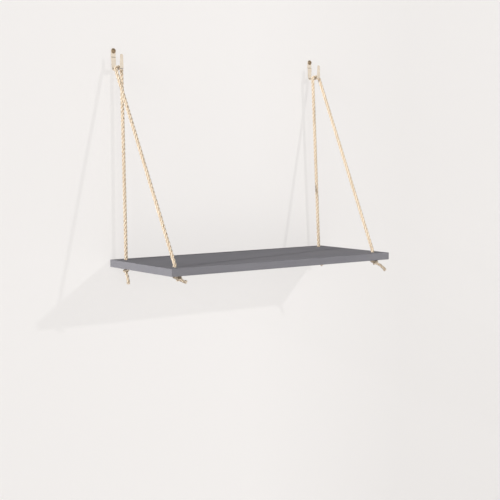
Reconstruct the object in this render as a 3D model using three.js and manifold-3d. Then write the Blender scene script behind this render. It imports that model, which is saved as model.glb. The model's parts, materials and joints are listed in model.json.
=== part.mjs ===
// Hanging rope shelf: a painted board on two ropes, each hung over a brass hook on the wall.
// Millimetres. X runs along the wall to the right, Y into the wall and Z up. The origin is on
// the wall's face, midway between the two hooks, at the height of their screws.

import * as THREE from "three";
import { mergeVertices } from "three/addons/utils/BufferGeometryUtils.js";
import Module from "manifold-3d";

const wasm = await Module();
wasm.setup();

// Board
const boardLength = 600;
const boardDepth = 244;
const boardThickness = 16;
const boardEdge = 0.6;
const boardDrop = 448;
const boardShift = 13;
const boardWallGap = 0.5;
const holeClearance = 0.5;
const holeFromEnd = 26;
const backHoleFromEdge = 24;
const frontHoleFromEdge = 28;

// Rope
const ropeDiameter = 8;
const ropeSeatGap = 0.3;
const ropeSideGap = 1;
const frontLegLead = 2;
const leftBackLegLag = 6.4;
const swayReach = 20;
const swayGap = 0.3;
const footRadiusShare = 1.05;
const footGap = 0.4;
const knotDiameterShare = 0.775;
const knotGap = 0.3;
const tailDiameterShare = 0.875;

// Hook
const stripThickness = 2.5;
const stripEdge = 0.7;
const plateWidth = 11;
const barWidth = 9;
const tipWidth = 6.5;
const plateRise = 6;
const stepDrop = 12.5;
const stepLength = 2.4;
const stepHeight = 1.2;
const barDrop = 42.5;
const tipReach = 37;
const tipDrop = 8.3;
const bendRadius = 5;

// Screw and wall plug
const headDiameter = 10.8;
const headHeight = 3;
const headSeatGap = 0.1;
const recessWidth = 1.1;
const recessSpan = 5.2;
const recessDepth = 1.3;
const shankDiameter = 4;
const threadDepth = 0.6;
const threadPitch = 3;
const screwLength = 34;
const pointLength = 4;
const shankClearance = 0.3;
const plugWall = 0.9;
const plugLength = 29;
const plugRib = 0.5;
const plugRibPitch = 4;
const plugSlot = 0.9;
const plugSlotLength = 19;
const plugInset = 0.4;

// How far a cut runs past what it cuts
const cutSpare = 5;

// Derived sizes and places
const ropeRadius = ropeDiameter / 2;
const knotRadius = (knotDiameterShare * ropeDiameter) / 2;
const tailRadius = (tailDiameterShare * ropeDiameter) / 2;
const holeRadius = ropeRadius + holeClearance;
const shankRadius = shankDiameter / 2;
const shankHoleRadius = shankRadius + shankClearance;
const plugRadius = shankHoleRadius + plugWall;
const hookSpacing = boardLength - 2 * holeFromEnd;
const backHoleY = -(boardWallGap + backHoleFromEdge);
const frontHoleY = -(boardWallGap + boardDepth - frontHoleFromEdge);
const undersideZ = -(boardDrop + boardThickness);
const seatY = -(tipReach - stripThickness - bendRadius - ropeRadius);
const seatZ = -barDrop + stripThickness + ropeSeatGap + ropeRadius;
const saddleBend = ropeRadius + ropeSeatGap + ropeSideGap;
const legOut = barWidth / 2 + ropeSideGap + ropeRadius;
const footRadius = footRadiusShare * ropeRadius;
const footZ = -boardDrop + footRadius + footGap;

// Facets
const ropeSides = 10;
const legSteps = 16;
const saddleSteps = 30;
const knotSteps = 48;
const knotStretches = 8;
const tailSteps = 8;
const roundSegments = 48;
const turnedSegments = 16;

// Materials
const materials = {
  board: new THREE.MeshStandardMaterial({ color: 0x817f86, roughness: 0.8, metalness: 0 }),
  rope: new THREE.MeshStandardMaterial({ color: 0xe9d9bf, roughness: 0.95, metalness: 0 }),
  hook: new THREE.MeshStandardMaterial({ color: 0xf0dac2, roughness: 0.15, metalness: 1 }),
  screw: new THREE.MeshStandardMaterial({ color: 0x947e62, roughness: 0.3, metalness: 1 }),
  plug: new THREE.MeshStandardMaterial({ color: 0xb9b7b0, roughness: 0.6, metalness: 0 }),
};

// Turns a closed three.js geometry into a solid that can be cut and joined.
function solid(geometry) {
  const bare = geometry.index ? geometry.clone() : geometry;
  bare.deleteAttribute("normal");
  bare.deleteAttribute("uv");
  const merged = mergeVertices(bare);
  const vertProperties = new Float32Array(merged.attributes.position.array);
  const triVerts = new Uint32Array(merged.index.array);
  return new wasm.Manifold(new wasm.Mesh({ numProp: 3, vertProperties, triVerts }));
}

// Turns a solid back into a three.js geometry.
function geometryOf(body) {
  const mesh = body.getMesh();
  const geometry = new THREE.BufferGeometry();
  geometry.setAttribute("position", new THREE.BufferAttribute(new Float32Array(mesh.vertProperties), 3));
  geometry.setIndex(new THREE.BufferAttribute(new Uint32Array(mesh.triVerts), 1));
  geometry.computeVertexNormals();
  return geometry;
}

// The largest piece of a solid, without the pockets that its skins close off inside it.
function outerSkin(body) {
  const pieces = body.decompose();
  pieces.sort((a, b) => b.volume() - a.volume());
  return pieces[0];
}

// Closes a row of rings with equal point counts into one skin, with a fan over each end.
function loft(rings) {
  const count = rings[0].length;
  const last = (rings.length - 1) * count;
  const corners = [];
  for (let ring = 0; ring < rings.length - 1; ring++) {
    for (let k = 0; k < count; k++) {
      const a = ring * count + k;
      const b = ring * count + ((k + 1) % count);
      corners.push(a, b, b + count, a, b + count, a + count);
    }
  }
  for (let k = 1; k < count - 1; k++) {
    corners.push(0, k + 1, k, last, last + k, last + k + 1);
  }
  const geometry = new THREE.BufferGeometry();
  geometry.setFromPoints(rings.flat());
  geometry.setIndex(corners);
  geometry.computeVertexNormals();
  return geometry;
}

// A regular outline with one flat side up, so that a rope's facets lie alike on every piece.
function round(radius, sides) {
  const points = [];
  for (let k = 0; k < sides; k++) {
    const angle = (2 * Math.PI * (k + 0.5)) / sides;
    points.push(new THREE.Vector2(radius * Math.cos(angle), radius * Math.sin(angle)));
  }
  return new THREE.Shape(points);
}

function tube(path, radius, sides, steps) {
  return new THREE.ExtrudeGeometry(round(radius, sides), { extrudePath: path, steps, bevelEnabled: false });
}

// A stretch of a longer curve.
class Stretch extends THREE.Curve {
  constructor(whole, from, to) {
    super();
    this.whole = whole;
    this.from = from;
    this.to = to;
  }

  getPoint(t) {
    return this.whole.getPoint(this.from + (this.to - this.from) * t);
  }
}

// A cylinder along Y, centred on a point.
function crossCylinder(radius, length, centre) {
  const geometry = new THREE.CylinderGeometry(radius, radius, length, roundSegments);
  geometry.translate(centre.x, centre.y, centre.z);
  return solid(geometry);
}

// The hook is one flat strip, bent to a J and swept along this line of (distance from wall, height).
function hookLine() {
  const half = stripThickness / 2;
  const bend = bendRadius + half;
  const stemOut = half + stepHeight;
  const barZ = -barDrop + half;
  const tipOut = tipReach - half;
  const line = new THREE.Path();
  line.moveTo(half, plateRise);
  line.lineTo(half, -stepDrop);
  const middle = -stepDrop - stepLength / 2;
  line.bezierCurveTo(half, middle, stemOut, middle, stemOut, -stepDrop - stepLength);
  line.lineTo(stemOut, barZ + bend);
  line.absarc(stemOut + bend, barZ + bend, bend, Math.PI, 1.5 * Math.PI, false);
  line.lineTo(tipOut - bend, barZ);
  line.absarc(tipOut - bend, barZ + bend, bend, -0.5 * Math.PI, 0, false);
  line.lineTo(tipOut, -tipDrop);
  return line;
}

// The strip's width at a distance along its line: a round plate that narrows to the bar and the tip.
function stripWidth(along, total) {
  const plateEnd = plateRise + stepDrop;
  const barStart = plateRise + barDrop;
  const barEnd = total - (barDrop - tipDrop);
  const toBar = THREE.MathUtils.smoothstep(along, plateEnd, barStart);
  const toTip = THREE.MathUtils.clamp((along - barEnd) / (total - barEnd), 0, 1);
  const full = plateWidth + (barWidth - plateWidth) * toBar + (tipWidth - barWidth) * toTip;
  const topLeft = Math.max(plateWidth / 2 - along, 0);
  const tipLeft = Math.max(along - (total - tipWidth / 2), 0);
  const top = 2 * Math.sqrt(Math.max((plateWidth / 2) ** 2 - topLeft ** 2, 0));
  const tip = 2 * Math.sqrt(Math.max((tipWidth / 2) ** 2 - tipLeft ** 2, 0));
  return Math.min(full, top, tipLeft > 0 ? tip : full);
}

// Distances along the strip at which it has a ring: close together at its round ends and bends.
function stripStations(line, total) {
  const endSteps = 6;
  const lineSteps = 5;
  const bendSteps = 7;
  const firstStepShare = 0.4;
  const stations = [];
  for (let k = 0; k < endSteps; k++) {
    const share = 1 - Math.cos((Math.PI / 2) * ((k + firstStepShare) / endSteps));
    stations.push((plateWidth / 2) * share);
    stations.push(total - (tipWidth / 2) * share);
  }
  let from = 0;
  for (const stretch of line.curves) {
    const length = stretch.getLength();
    const steps = stretch.isLineCurve ? lineSteps : bendSteps;
    for (let k = 0; k < steps; k++) {
      stations.push(from + (length * k) / steps);
    }
    from += length;
  }
  const inside = stations.filter((along) => along > 0 && along < total);
  return inside.sort((a, b) => a - b);
}

// One ring of the strip: a rectangle with rounded corners, across the line.
function stripRing(point, tangent, width, hookX) {
  const cornerSteps = 1;
  const mostCornerShare = 0.9;
  const across = width / 2;
  const half = stripThickness / 2;
  const corner = Math.min(stripEdge, across * mostCornerShare, half * mostCornerShare);
  const ring = [];
  for (let quarter = 0; quarter < 4; quarter++) {
    const signX = quarter === 0 || quarter === 3 ? 1 : -1;
    const signT = quarter < 2 ? 1 : -1;
    for (let k = 0; k <= cornerSteps; k++) {
      const angle = (Math.PI / 2) * (quarter + k / cornerSteps);
      const x = signX * (across - corner) + corner * Math.cos(angle);
      const t = signT * (half - corner) + corner * Math.sin(angle);
      const out = point.x - tangent.y * t;
      const z = point.y + tangent.x * t;
      ring.push(new THREE.Vector3(hookX + x, -out, z));
    }
  }
  return ring;
}

function hook(hookX) {
  const line = hookLine();
  const total = line.getLength();
  const rings = stripStations(line, total).map((along) => {
    const share = along / total;
    return stripRing(line.getPoint(share), line.getTangent(share), stripWidth(along, total), hookX);
  });
  const screwAxis = new THREE.Vector3(hookX, 0, 0);
  const hole = crossCylinder(shankHoleRadius, 2 * stripThickness + cutSpare, screwAxis);
  return geometryOf(solid(loft(rings)).subtract(hole));
}

// A profile of (radius, distance into the wall) turned about the screw's axis.
function turned(profile, hookX) {
  const points = profile.map(([radius, depth]) => new THREE.Vector2(radius, depth));
  const geometry = new THREE.LatheGeometry(points, turnedSegments);
  geometry.translate(hookX, 0, 0);
  return geometry;
}

function screw(hookX) {
  const core = shankRadius - threadDepth;
  const flankShare = 0.3;
  const rootShare = 0.6;
  const seat = -(stripThickness + headSeatGap);
  const profile = [[0, seat - headHeight]];
  const domeSteps = 5;
  for (let k = 1; k < domeSteps; k++) {
    const angle = (Math.PI / 2) * (k / domeSteps);
    profile.push([(headDiameter / 2) * Math.sin(angle), seat - headHeight * Math.cos(angle)]);
  }
  profile.push([headDiameter / 2, seat]);
  profile.push([shankRadius, seat]);
  const threadEnd = screwLength - pointLength;
  const turns = Math.floor((threadEnd - plugInset) / threadPitch);
  for (let k = 0; k < turns; k++) {
    const crest = threadEnd - (turns - k) * threadPitch;
    profile.push([shankRadius, crest]);
    profile.push([core, crest + threadPitch * flankShare]);
    profile.push([core, crest + threadPitch * rootShare]);
  }
  profile.push([shankRadius, threadEnd]);
  profile.push([0, screwLength]);
  let body = solid(turned(profile, hookX));
  for (const turn of [0, Math.PI / 2]) {
    const slot = new THREE.BoxGeometry(recessSpan, 2 * recessDepth, recessWidth);
    slot.rotateY(turn);
    slot.translate(hookX, seat - headHeight, 0);
    body = body.subtract(solid(slot));
  }
  return geometryOf(body);
}

function wallPlug(hookX) {
  const ribShare = 0.7;
  const end = plugInset + plugLength;
  const profile = [[shankHoleRadius, end], [shankHoleRadius, plugInset], [plugRadius, plugInset]];
  const ribs = Math.floor(plugLength / plugRibPitch) - 1;
  for (let k = 1; k <= ribs; k++) {
    const foot = plugInset + k * plugRibPitch;
    profile.push([plugRadius, foot]);
    profile.push([plugRadius + plugRib, foot]);
    profile.push([plugRadius, foot + plugRibPitch * ribShare]);
  }
  profile.push([plugRadius - plugRib, end]);
  profile.push([shankHoleRadius, end]);
  const slotHeight = 2 * (plugRadius + plugRib) + cutSpare;
  const slot = new THREE.BoxGeometry(plugSlot, plugSlotLength + cutSpare, slotHeight);
  slot.translate(hookX, end + (cutSpare - plugSlotLength) / 2, 0);
  return geometryOf(solid(turned(profile, hookX)).subtract(solid(slot)));
}

// Where one side's rope runs. The back leg leaves the hook towards the middle of the shelf, the
// front leg on the far side. The left rope lies askew, with its back leg nearer the wall.
function ropeRoute(side) {
  const hookX = (side * hookSpacing) / 2;
  const holeX = hookX + boardShift;
  const top = new THREE.Vector3(hookX, seatY, seatZ);
  const foot = {
    back: new THREE.Vector3(holeX, backHoleY, footZ),
    front: new THREE.Vector3(holeX, frontHoleY, footZ),
  };
  const backLag = side < 0 ? leftBackLegLag : 0;
  const shoulder = {
    back: new THREE.Vector3(hookX - side * legOut, seatY + backLag, seatZ - saddleBend),
    front: new THREE.Vector3(hookX + side * legOut, seatY - frontLegLead, seatZ - saddleBend),
  };
  return { hookX, holeX, side, top, foot, shoulder };
}

function legDirection(route, end) {
  return route.foot[end].clone().sub(route.shoulder[end]).normalize();
}

// The rope's turn over the bar, with both its ends run on towards the legs. It crosses the bar itself
// nearly square, so that it stays clear of it as the shelf swings out.
function saddlePath(route) {
  const flatShare = 1 - saddleBend / legOut;
  const skewShare = 0.1;
  const handleShare = 0.4;
  const path = new THREE.CurvePath();
  const flats = {};
  for (const end of ["back", "front"]) {
    const out = route.shoulder[end].clone().sub(route.top);
    flats[end] = new THREE.Vector3(out.x * flatShare, out.y * skewShare, 0).add(route.top);
  }
  const across = flats.back.clone().sub(flats.front).normalize();
  const halves = {};
  for (const [end, outward] of [["back", 1], ["front", -1]]) {
    const direction = legDirection(route, end);
    const shoulder = route.shoulder[end];
    const flat = flats[end];
    const handle = handleShare * flat.distanceTo(shoulder);
    halves[end] = {
      flat,
      flatHandle: flat.clone().addScaledVector(across, outward * handle),
      shoulder,
      shoulderHandle: shoulder.clone().addScaledVector(direction, -handle),
      low: shoulder.clone().addScaledVector(direction, swayReach),
    };
  }
  const { back, front } = halves;
  path.add(new THREE.LineCurve3(back.low, back.shoulder));
  path.add(new THREE.CubicBezierCurve3(back.shoulder, back.shoulderHandle, back.flatHandle, back.flat));
  path.add(new THREE.LineCurve3(back.flat, front.flat));
  path.add(new THREE.CubicBezierCurve3(front.flat, front.flatHandle, front.shoulderHandle, front.shoulder));
  path.add(new THREE.LineCurve3(front.shoulder, front.low));
  return path;
}

// A cylinder along Y about the rope's turn, as long as both its ends need.
function swayCylinder(radius, route) {
  return crossCylinder(radius, 2 * (swayReach + ropeDiameter + cutSpare), route.top);
}

// The saddle ends on such a cylinder, so that the legs below can swing past it sideways.
function ropeSaddle(route) {
  const whole = solid(tube(saddlePath(route), ropeRadius, ropeSides, saddleSteps));
  return geometryOf(whole.intersect(swayCylinder(swayReach - swayGap / 2, route)));
}

// A leg starts on that cylinder and ends round at the board, where it tips as the shelf sways.
function ropeLeg(route, end) {
  const direction = legDirection(route, end);
  const foot = route.foot[end];
  const path = new THREE.LineCurve3(
    route.shoulder[end].clone().addScaledVector(direction, ropeRadius),
    foot.clone().addScaledVector(direction, 2 * footRadius),
  );
  const reach = 2 * (ropeDiameter + footRadius) + cutSpare;
  const below = new THREE.BoxGeometry(reach, reach, reach);
  below.translate(foot.x, foot.y, foot.z - reach / 2);
  const footRound = crossCylinder(footRadius, reach + cutSpare, foot);
  const start = swayCylinder(swayReach + swayGap / 2, route);
  const whole = solid(tube(path, ropeRadius, ropeSides, legSteps));
  return geometryOf(whole.subtract(start).subtract(solid(below).subtract(footRound)));
}

// An overhand knot below the board, in shares of the rope's diameter from the hole's axis at the
// board's underside: out of the hole, down, once round both strands, then back through that loop.
const knotShares = [
  [0, 0, 0],
  [-0.12, 0.05, -0.44],
  [-0.2, -0.06, -0.84],
  [-0.1, -0.36, -1.16],
  [0.22, -0.62, -1.27],
  [0.6, -0.48, -1.18],
  [0.74, 0.02, -1.0],
  [0.46, 0.54, -0.8],
  [-0.12, 0.7, -0.64],
  [-0.6, 0.42, -0.53],
  [-0.7, -0.14, -0.48],
  [-0.36, -0.58, -0.5],
  [0.16, -0.62, -0.66],
  [0.42, -0.3, -0.92],
  [0.38, 0.08, -1.24],
];

// The depths below the board, in the same shares, between which a knot is drawn aside.
const asideFromShare = 0.3;
const asideToShare = 1;

// Each knot's turn about its hole, in degrees, how far its lower part is drawn aside along X and Y,
// and the points of its free end, in the same shares from the same place.
const ropeEnds = {
  left_back: {
    side: -1,
    end: "back",
    turn: 155,
    asideShares: [0.16, -0.12],
    freeShares: [[0.1, -0.1, -1.95], [0.33, -0.25, -3.15], [0.44, -0.33, -4.45]],
  },
  left_front: {
    side: -1,
    end: "front",
    turn: 236,
    asideShares: [1, -0.75],
    freeShares: [[1.3, -1.15, -1.44], [1.77, -1.32, -1.62], [2.26, -1.67, -1.8]],
  },
  right_back: {
    side: 1,
    end: "back",
    turn: 258,
    asideShares: [0.16, -0.12],
    freeShares: [[0.4, -0.42, -1.75], [0.6, -0.46, -2.67], [0.84, -0.63, -3.66]],
  },
  right_front: {
    side: 1,
    end: "front",
    turn: 216,
    asideShares: [0.88, -0.66],
    freeShares: [[1.5, -1.2, -1.55], [2.31, -1.73, -2.29], [2.96, -2.22, -3.13]],
  },
};

// One end of the rope, from the board's top down through its hole, the knot and the free end.
function endPath(route, place) {
  const y = place.end === "back" ? backHoleY : frontHoleY;
  const hole = new THREE.Vector3(route.holeX, y, undersideZ);
  const axis = new THREE.Vector3(0, 0, 1);
  const turn = THREE.MathUtils.degToRad(place.turn);
  const aside = new THREE.Vector3(...place.asideShares, 0);
  const points = [1, 0.5].map((share) => new THREE.Vector3(0, 0, share * boardThickness));
  for (const [x, y, z] of knotShares) {
    const drawn = THREE.MathUtils.smoothstep(-z, asideFromShare, asideToShare);
    const point = new THREE.Vector3(x, y, z).applyAxisAngle(axis, turn);
    points.push(point.addScaledVector(aside, drawn).multiplyScalar(ropeDiameter));
  }
  for (const [x, y, z] of place.freeShares) {
    points.push(new THREE.Vector3(x, y, z).multiplyScalar(ropeDiameter));
  }
  const path = new THREE.CatmullRomCurve3(points.map((point) => point.add(hole)), false, "centripetal");
  const knotEnd = (points.length - 1 - place.freeShares.length) / (points.length - 1);
  return { path, knotEnd };
}

// Rings of a rope whose radius changes along its path.
function ropeRings(path, steps, radiusAt) {
  const frames = path.computeFrenetFrames(steps);
  return path.getSpacedPoints(steps).map((point, k) => {
    const ring = [];
    for (let side = 0; side < ropeSides; side++) {
      const angle = (2 * Math.PI * side) / ropeSides;
      const out = frames.normals[k].clone().multiplyScalar(Math.cos(angle));
      out.addScaledVector(frames.binormals[k], Math.sin(angle));
      ring.push(point.clone().addScaledVector(out, radiusAt(k / steps)));
    }
    return ring;
  });
}

// The knot's tube runs into itself where it is drawn tight, so it is joined from short stretches
// that don't.
function knotBody(path, knotEnd, spare) {
  const whole = new Stretch(path, 0, knotEnd);
  const inHoleShare = boardThickness / whole.getLength();
  const drawnShare = (boardThickness + ropeDiameter) / whole.getLength();
  const rings = ropeRings(whole, knotSteps, (share) => {
    const drawn = THREE.MathUtils.smoothstep(share, inHoleShare, drawnShare);
    return spare + ropeRadius + (knotRadius - ropeRadius) * drawn;
  });
  const each = knotSteps / knotStretches;
  let body = solid(loft(rings.slice(0, each + 1)));
  for (let k = 1; k < knotStretches; k++) {
    body = body.add(solid(loft(rings.slice(k * each, (k + 1) * each + 1))));
  }
  return outerSkin(body);
}

function knot(route, place) {
  const { path, knotEnd } = endPath(route, place);
  return geometryOf(knotBody(path, knotEnd, 0));
}

function tail(route, place) {
  const { path, knotEnd } = endPath(route, place);
  const start = path.getPoint(knotEnd);
  const stepShare = 0.001;
  const speed = path.getPoint(knotEnd + stepShare).distanceTo(start) / stepShare;
  const clearEnd = knotEnd + knotGap / speed;
  const free = new Stretch(path, clearEnd, 1);
  const loosenedShare = 0.5;
  const rings = ropeRings(free, tailSteps, (share) => {
    return knotRadius + (tailRadius - knotRadius) * THREE.MathUtils.smoothstep(share, 0, loosenedShare);
  });
  return geometryOf(outerSkin(solid(loft(rings)).subtract(knotBody(path, clearEnd, knotGap))));
}

function board() {
  const outline = new THREE.Shape();
  const half = boardLength / 2;
  const front = -(boardWallGap + boardDepth);
  outline.moveTo(boardShift - half, front);
  outline.lineTo(boardShift + half, front);
  outline.lineTo(boardShift + half, -boardWallGap);
  outline.lineTo(boardShift - half, -boardWallGap);
  outline.closePath();
  for (const side of [-1, 1]) {
    for (const y of [backHoleY, frontHoleY]) {
      const hole = new THREE.Path();
      hole.absarc(boardShift + (side * hookSpacing) / 2, y, holeRadius, 0, 2 * Math.PI, true);
      outline.holes.push(hole);
    }
  }
  const geometry = new THREE.ExtrudeGeometry(outline, {
    depth: boardThickness - 2 * boardEdge,
    bevelThickness: boardEdge,
    bevelSize: boardEdge,
    bevelOffset: -boardEdge,
    bevelSegments: 1,
    curveSegments: roundSegments / 4,
  });
  geometry.translate(0, 0, undersideZ + boardEdge);
  return geometry;
}

// The shelf
const shelf = new THREE.Group();

function add(name, geometry, material) {
  const mesh = new THREE.Mesh(geometry, materials[material].clone());
  mesh.name = name;
  shelf.add(mesh);
}

add("board", board(), "board");
for (const [word, side] of [["left", -1], ["right", 1]]) {
  const route = ropeRoute(side);
  add(`${word}_hook`, hook(route.hookX), "hook");
  add(`${word}_screw`, screw(route.hookX), "screw");
  add(`${word}_wall_plug`, wallPlug(route.hookX), "plug");
  add(`${word}_rope_saddle`, ropeSaddle(route), "rope");
  add(`${word}_rope_back_leg`, ropeLeg(route, "back"), "rope");
  add(`${word}_rope_front_leg`, ropeLeg(route, "front"), "rope");
}
for (const [word, place] of Object.entries(ropeEnds)) {
  const route = ropeRoute(place.side);
  add(`${word}_knot`, knot(route, place), "rope");
  add(`${word}_tail`, tail(route, place), "rope");
}

export default shelf;
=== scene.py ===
import json
import math

import bmesh
import bpy
import numpy as np
from mathutils import Matrix, Vector


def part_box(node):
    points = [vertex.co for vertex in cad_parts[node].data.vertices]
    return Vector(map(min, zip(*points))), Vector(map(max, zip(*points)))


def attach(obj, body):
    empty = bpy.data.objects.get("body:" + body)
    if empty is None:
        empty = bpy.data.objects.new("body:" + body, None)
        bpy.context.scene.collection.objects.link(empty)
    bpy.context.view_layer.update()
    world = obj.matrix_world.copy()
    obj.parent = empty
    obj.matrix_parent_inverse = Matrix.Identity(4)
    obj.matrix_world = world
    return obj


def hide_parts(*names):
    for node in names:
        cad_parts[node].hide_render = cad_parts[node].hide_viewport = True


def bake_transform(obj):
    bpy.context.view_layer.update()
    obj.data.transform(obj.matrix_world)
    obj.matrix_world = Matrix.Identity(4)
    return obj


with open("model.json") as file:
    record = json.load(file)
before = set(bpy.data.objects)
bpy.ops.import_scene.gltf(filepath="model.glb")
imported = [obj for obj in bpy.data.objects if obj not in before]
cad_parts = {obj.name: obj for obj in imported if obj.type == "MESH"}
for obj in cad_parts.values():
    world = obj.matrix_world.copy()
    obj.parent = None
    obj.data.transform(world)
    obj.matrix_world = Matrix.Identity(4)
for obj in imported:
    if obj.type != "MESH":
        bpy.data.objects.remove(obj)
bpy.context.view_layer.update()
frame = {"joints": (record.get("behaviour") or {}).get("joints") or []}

# Hanging rope shelf: a grey board on two three-strand ropes, each hung over a brass hook on the wall.
# Metres, in the frame's axes: X along the wall to the right, Y into the wall, Z up.

scene = bpy.context.scene

PIVOTS = {joint["name"]: Vector(joint["pos_m"]) for joint in frame["joints"]}
SEAT = {"left": PIVOTS["sway"], "right": PIVOTS["right_saddle_level"]}
BACK_FOOT = {"left": PIVOTS["board_level"], "right": PIVOTS["right_leg_sway"]}
SIDES = {"left": -1, "right": 1}
BOARD_LOW, BOARD_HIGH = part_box("board")

# Rope
ROPE_DIAMETER = 0.008
ROPE_RADIUS = ROPE_DIAMETER / 2
FRONT_HOLE_FROM_EDGE = 0.028
FRONT_LEG_LEAD = 0.002
BACK_LEG_LAG = {"left": 0.0064, "right": 0}
LEG_OUT = 0.0095
SADDLE_BEND = 0.0053
FOOT_BEND = 0.005
ROPE_PITCH = 0.028
RING_STEP = 0.0011
KNOT_DIAMETER_SHARE = 0.775
TAIL_DIAMETER_SHARE = 0.875
TAIL_FLARE_SHARE = 1.06
POINTS_PER_STRAND = 12
STRAND_OFFSET_SHARE = 0.4625
STRAND_RADIUS_SHARE = 0.5375
SKEW_SHARE = 0.1
TURN_HANDLE_SHARE = 0.4
FOOT_HANDLE_SHARE = 0.6
LOOSENED_SHARE = 0.5
FLARED_SHARE = 0.7

# Loose yarn ends at each tail's cut end
YARNS = 46
YARN_SIDES = 5
YARN_REACH = (0.0012, 0.0036)
YARN_RADIUS = (0.00022, 0.00042)
YARN_ROOT_DEPTH = 0.0006
YARN_ROOT_SHARE = 0.8
YARN_SPREAD_SHARES = (0.1, 0.7)
YARN_LEAN_SHARE = 0.15
YARN_TAPER_SHARE = 0.65
# Where the loose yarns sit in the groove for the rope's painted groove shade, shallow enough to stay
# unshaded.
YARN_GROOVE_SHADE_SHARE = 0.3
FIRST_SEED = 7

# Each rope end's overhand knot, in shares of the rope's diameter from the hole's axis at the
# board's underside. Each end has its knot's turn in degrees, how far the knot's lower part is
# drawn aside, and the points of its free end.
KNOT_SHARES = [
    (0, 0, 0), (-0.12, 0.05, -0.44), (-0.2, -0.06, -0.84), (-0.1, -0.36, -1.16),
    (0.22, -0.62, -1.27), (0.6, -0.48, -1.18), (0.74, 0.02, -1.0), (0.46, 0.54, -0.8),
    (-0.12, 0.7, -0.64), (-0.6, 0.42, -0.53), (-0.7, -0.14, -0.48), (-0.36, -0.58, -0.5),
    (0.16, -0.62, -0.66), (0.42, -0.3, -0.92), (0.38, 0.08, -1.24),
]
ASIDE_FROM_SHARE = 0.3
ASIDE_TO_SHARE = 1.0
ROPE_ENDS = {
    "left_back": (155, (0.16, -0.12), [(0.1, -0.1, -1.95), (0.33, -0.25, -3.15), (0.44, -0.33, -4.45)]),
    "left_front": (236, (1.0, -0.75), [(1.3, -1.15, -1.44), (1.77, -1.32, -1.62), (2.26, -1.67, -1.8)]),
    "right_back": (258, (0.16, -0.12), [(0.4, -0.42, -1.75), (0.6, -0.46, -2.67), (0.84, -0.63, -3.66)]),
    "right_front": (216, (0.88, -0.66), [(1.5, -1.2, -1.55), (2.31, -1.73, -2.29), (2.96, -2.22, -3.13)]),
}

# Hook
STRIP_THICKNESS = 0.0025
STRIP_EDGE = 0.0008
PLATE_WIDTH = 0.011
BAR_WIDTH = 0.009
TIP_WIDTH = 0.0065
PLATE_RISE = 0.006
STEP_DROP = 0.0125
STEP_LENGTH = 0.0024
STEP_HEIGHT = 0.0012
BAR_DROP = 0.0425
TIP_REACH = 0.037
TIP_DROP = 0.0083
BEND_RADIUS = 0.005
END_FROM_SHARE = 0.03
CORNER_LIMIT_SHARE = 0.9

# Screw and wall plug
HEAD_DIAMETER = 0.0108
HEAD_HEIGHT = 0.003
HEAD_SEAT_GAP = 0.0001
RECESS_WIDTH = 0.0011
RECESS_SPAN = 0.0052
RECESS_DEPTH = 0.0013
RECESS_TAPER_SHARE = 0.62
HEAD_RIM_SHARE = 0.12
UNDERSIDE_SHARE = 0.8
SHANK_RADIUS = 0.002
THREAD_DEPTH = 0.0006
THREAD_PITCH = 0.0019
SCREW_LENGTH = 0.034
POINT_LENGTH = 0.005
POINT_TIP_SHARE = 0.08
PLAIN_CORE_SHARE = 0.4
RIDGE_STEEPNESS = 3.2
SHANK_CLEARANCE = 0.0003
PLUG_WALL = 0.0009
PLUG_LENGTH = 0.029
PLUG_INSET = 0.0004
PLUG_RIB = 0.0005
PLUG_RIB_PITCH = 0.0032
PLUG_RIB_SHARE = 0.7
PLUG_SLOT = 0.0009
PLUG_SLOT_LENGTH = 0.019

# Board
BOARD_EDGE = 0.0009
HOLE_RADIUS = 0.0045
HOLE_CHAMFER = 0.0006


def tree(name):
    """A new material with an empty node tree and its output."""
    material = bpy.data.materials.new(name)
    material.use_nodes = True
    nodes = material.node_tree.nodes
    nodes.clear()
    output = nodes.new("ShaderNodeOutputMaterial")
    return material, nodes, material.node_tree.links, output


def shader(nodes, links, output, **sockets):
    """A Principled BSDF with constants set on its own sockets."""
    principled = nodes.new("ShaderNodeBsdfPrincipled")
    for socket, value in sockets.items():
        principled.inputs[socket.replace("_", " ")].default_value = value
    links.new(principled.outputs["BSDF"], output.inputs["Surface"])
    return principled


def noise(nodes, links, vector, scale, detail=4.0, roughness=0.55):
    texture = nodes.new("ShaderNodeTexNoise")
    texture.inputs["Scale"].default_value = scale
    texture.inputs["Detail"].default_value = detail
    texture.inputs["Roughness"].default_value = roughness
    links.new(vector, texture.inputs["Vector"])
    return texture.outputs["Fac"]


def scaled(nodes, links, vector, scale):
    mapping = nodes.new("ShaderNodeMapping")
    mapping.inputs["Scale"].default_value = scale
    links.new(vector, mapping.inputs["Vector"])
    return mapping.outputs["Vector"]


def math_node(nodes, links, operation, first, second=None):
    node = nodes.new("ShaderNodeMath")
    node.operation = operation
    for socket, value in zip(node.inputs, (first, second)):
        if isinstance(value, (int, float)):
            socket.default_value = value
        elif value is not None:
            links.new(value, socket)
    return node.outputs["Value"]


def ramp(nodes, links, factor, *stops):
    node = nodes.new("ShaderNodeValToRGB")
    elements = node.color_ramp.elements
    while len(elements) < len(stops):
        elements.new(0.5)
    for element, (position, colour) in zip(elements, stops):
        element.position = position
        element.color = (*colour, 1)
    links.new(factor, node.inputs["Fac"])
    return node.outputs["Color"]


def mixed(nodes, links, factor, first, second, blend="MIX"):
    node = nodes.new("ShaderNodeMix")
    node.data_type = "RGBA"
    node.blend_type = blend
    for socket, value in zip((node.inputs[0], node.inputs[6], node.inputs[7]), (factor, first, second)):
        if isinstance(value, (int, float)):
            socket.default_value = value
        elif isinstance(value, tuple):
            socket.default_value = (*value, 1)
        else:
            links.new(value, socket)
    return node.outputs[2]


def bump(nodes, links, height, strength, distance, principled):
    node = nodes.new("ShaderNodeBump")
    node.inputs["Strength"].default_value = strength
    node.inputs["Distance"].default_value = distance
    links.new(height, node.inputs["Height"])
    links.new(node.outputs["Normal"], principled.inputs["Normal"])


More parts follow.
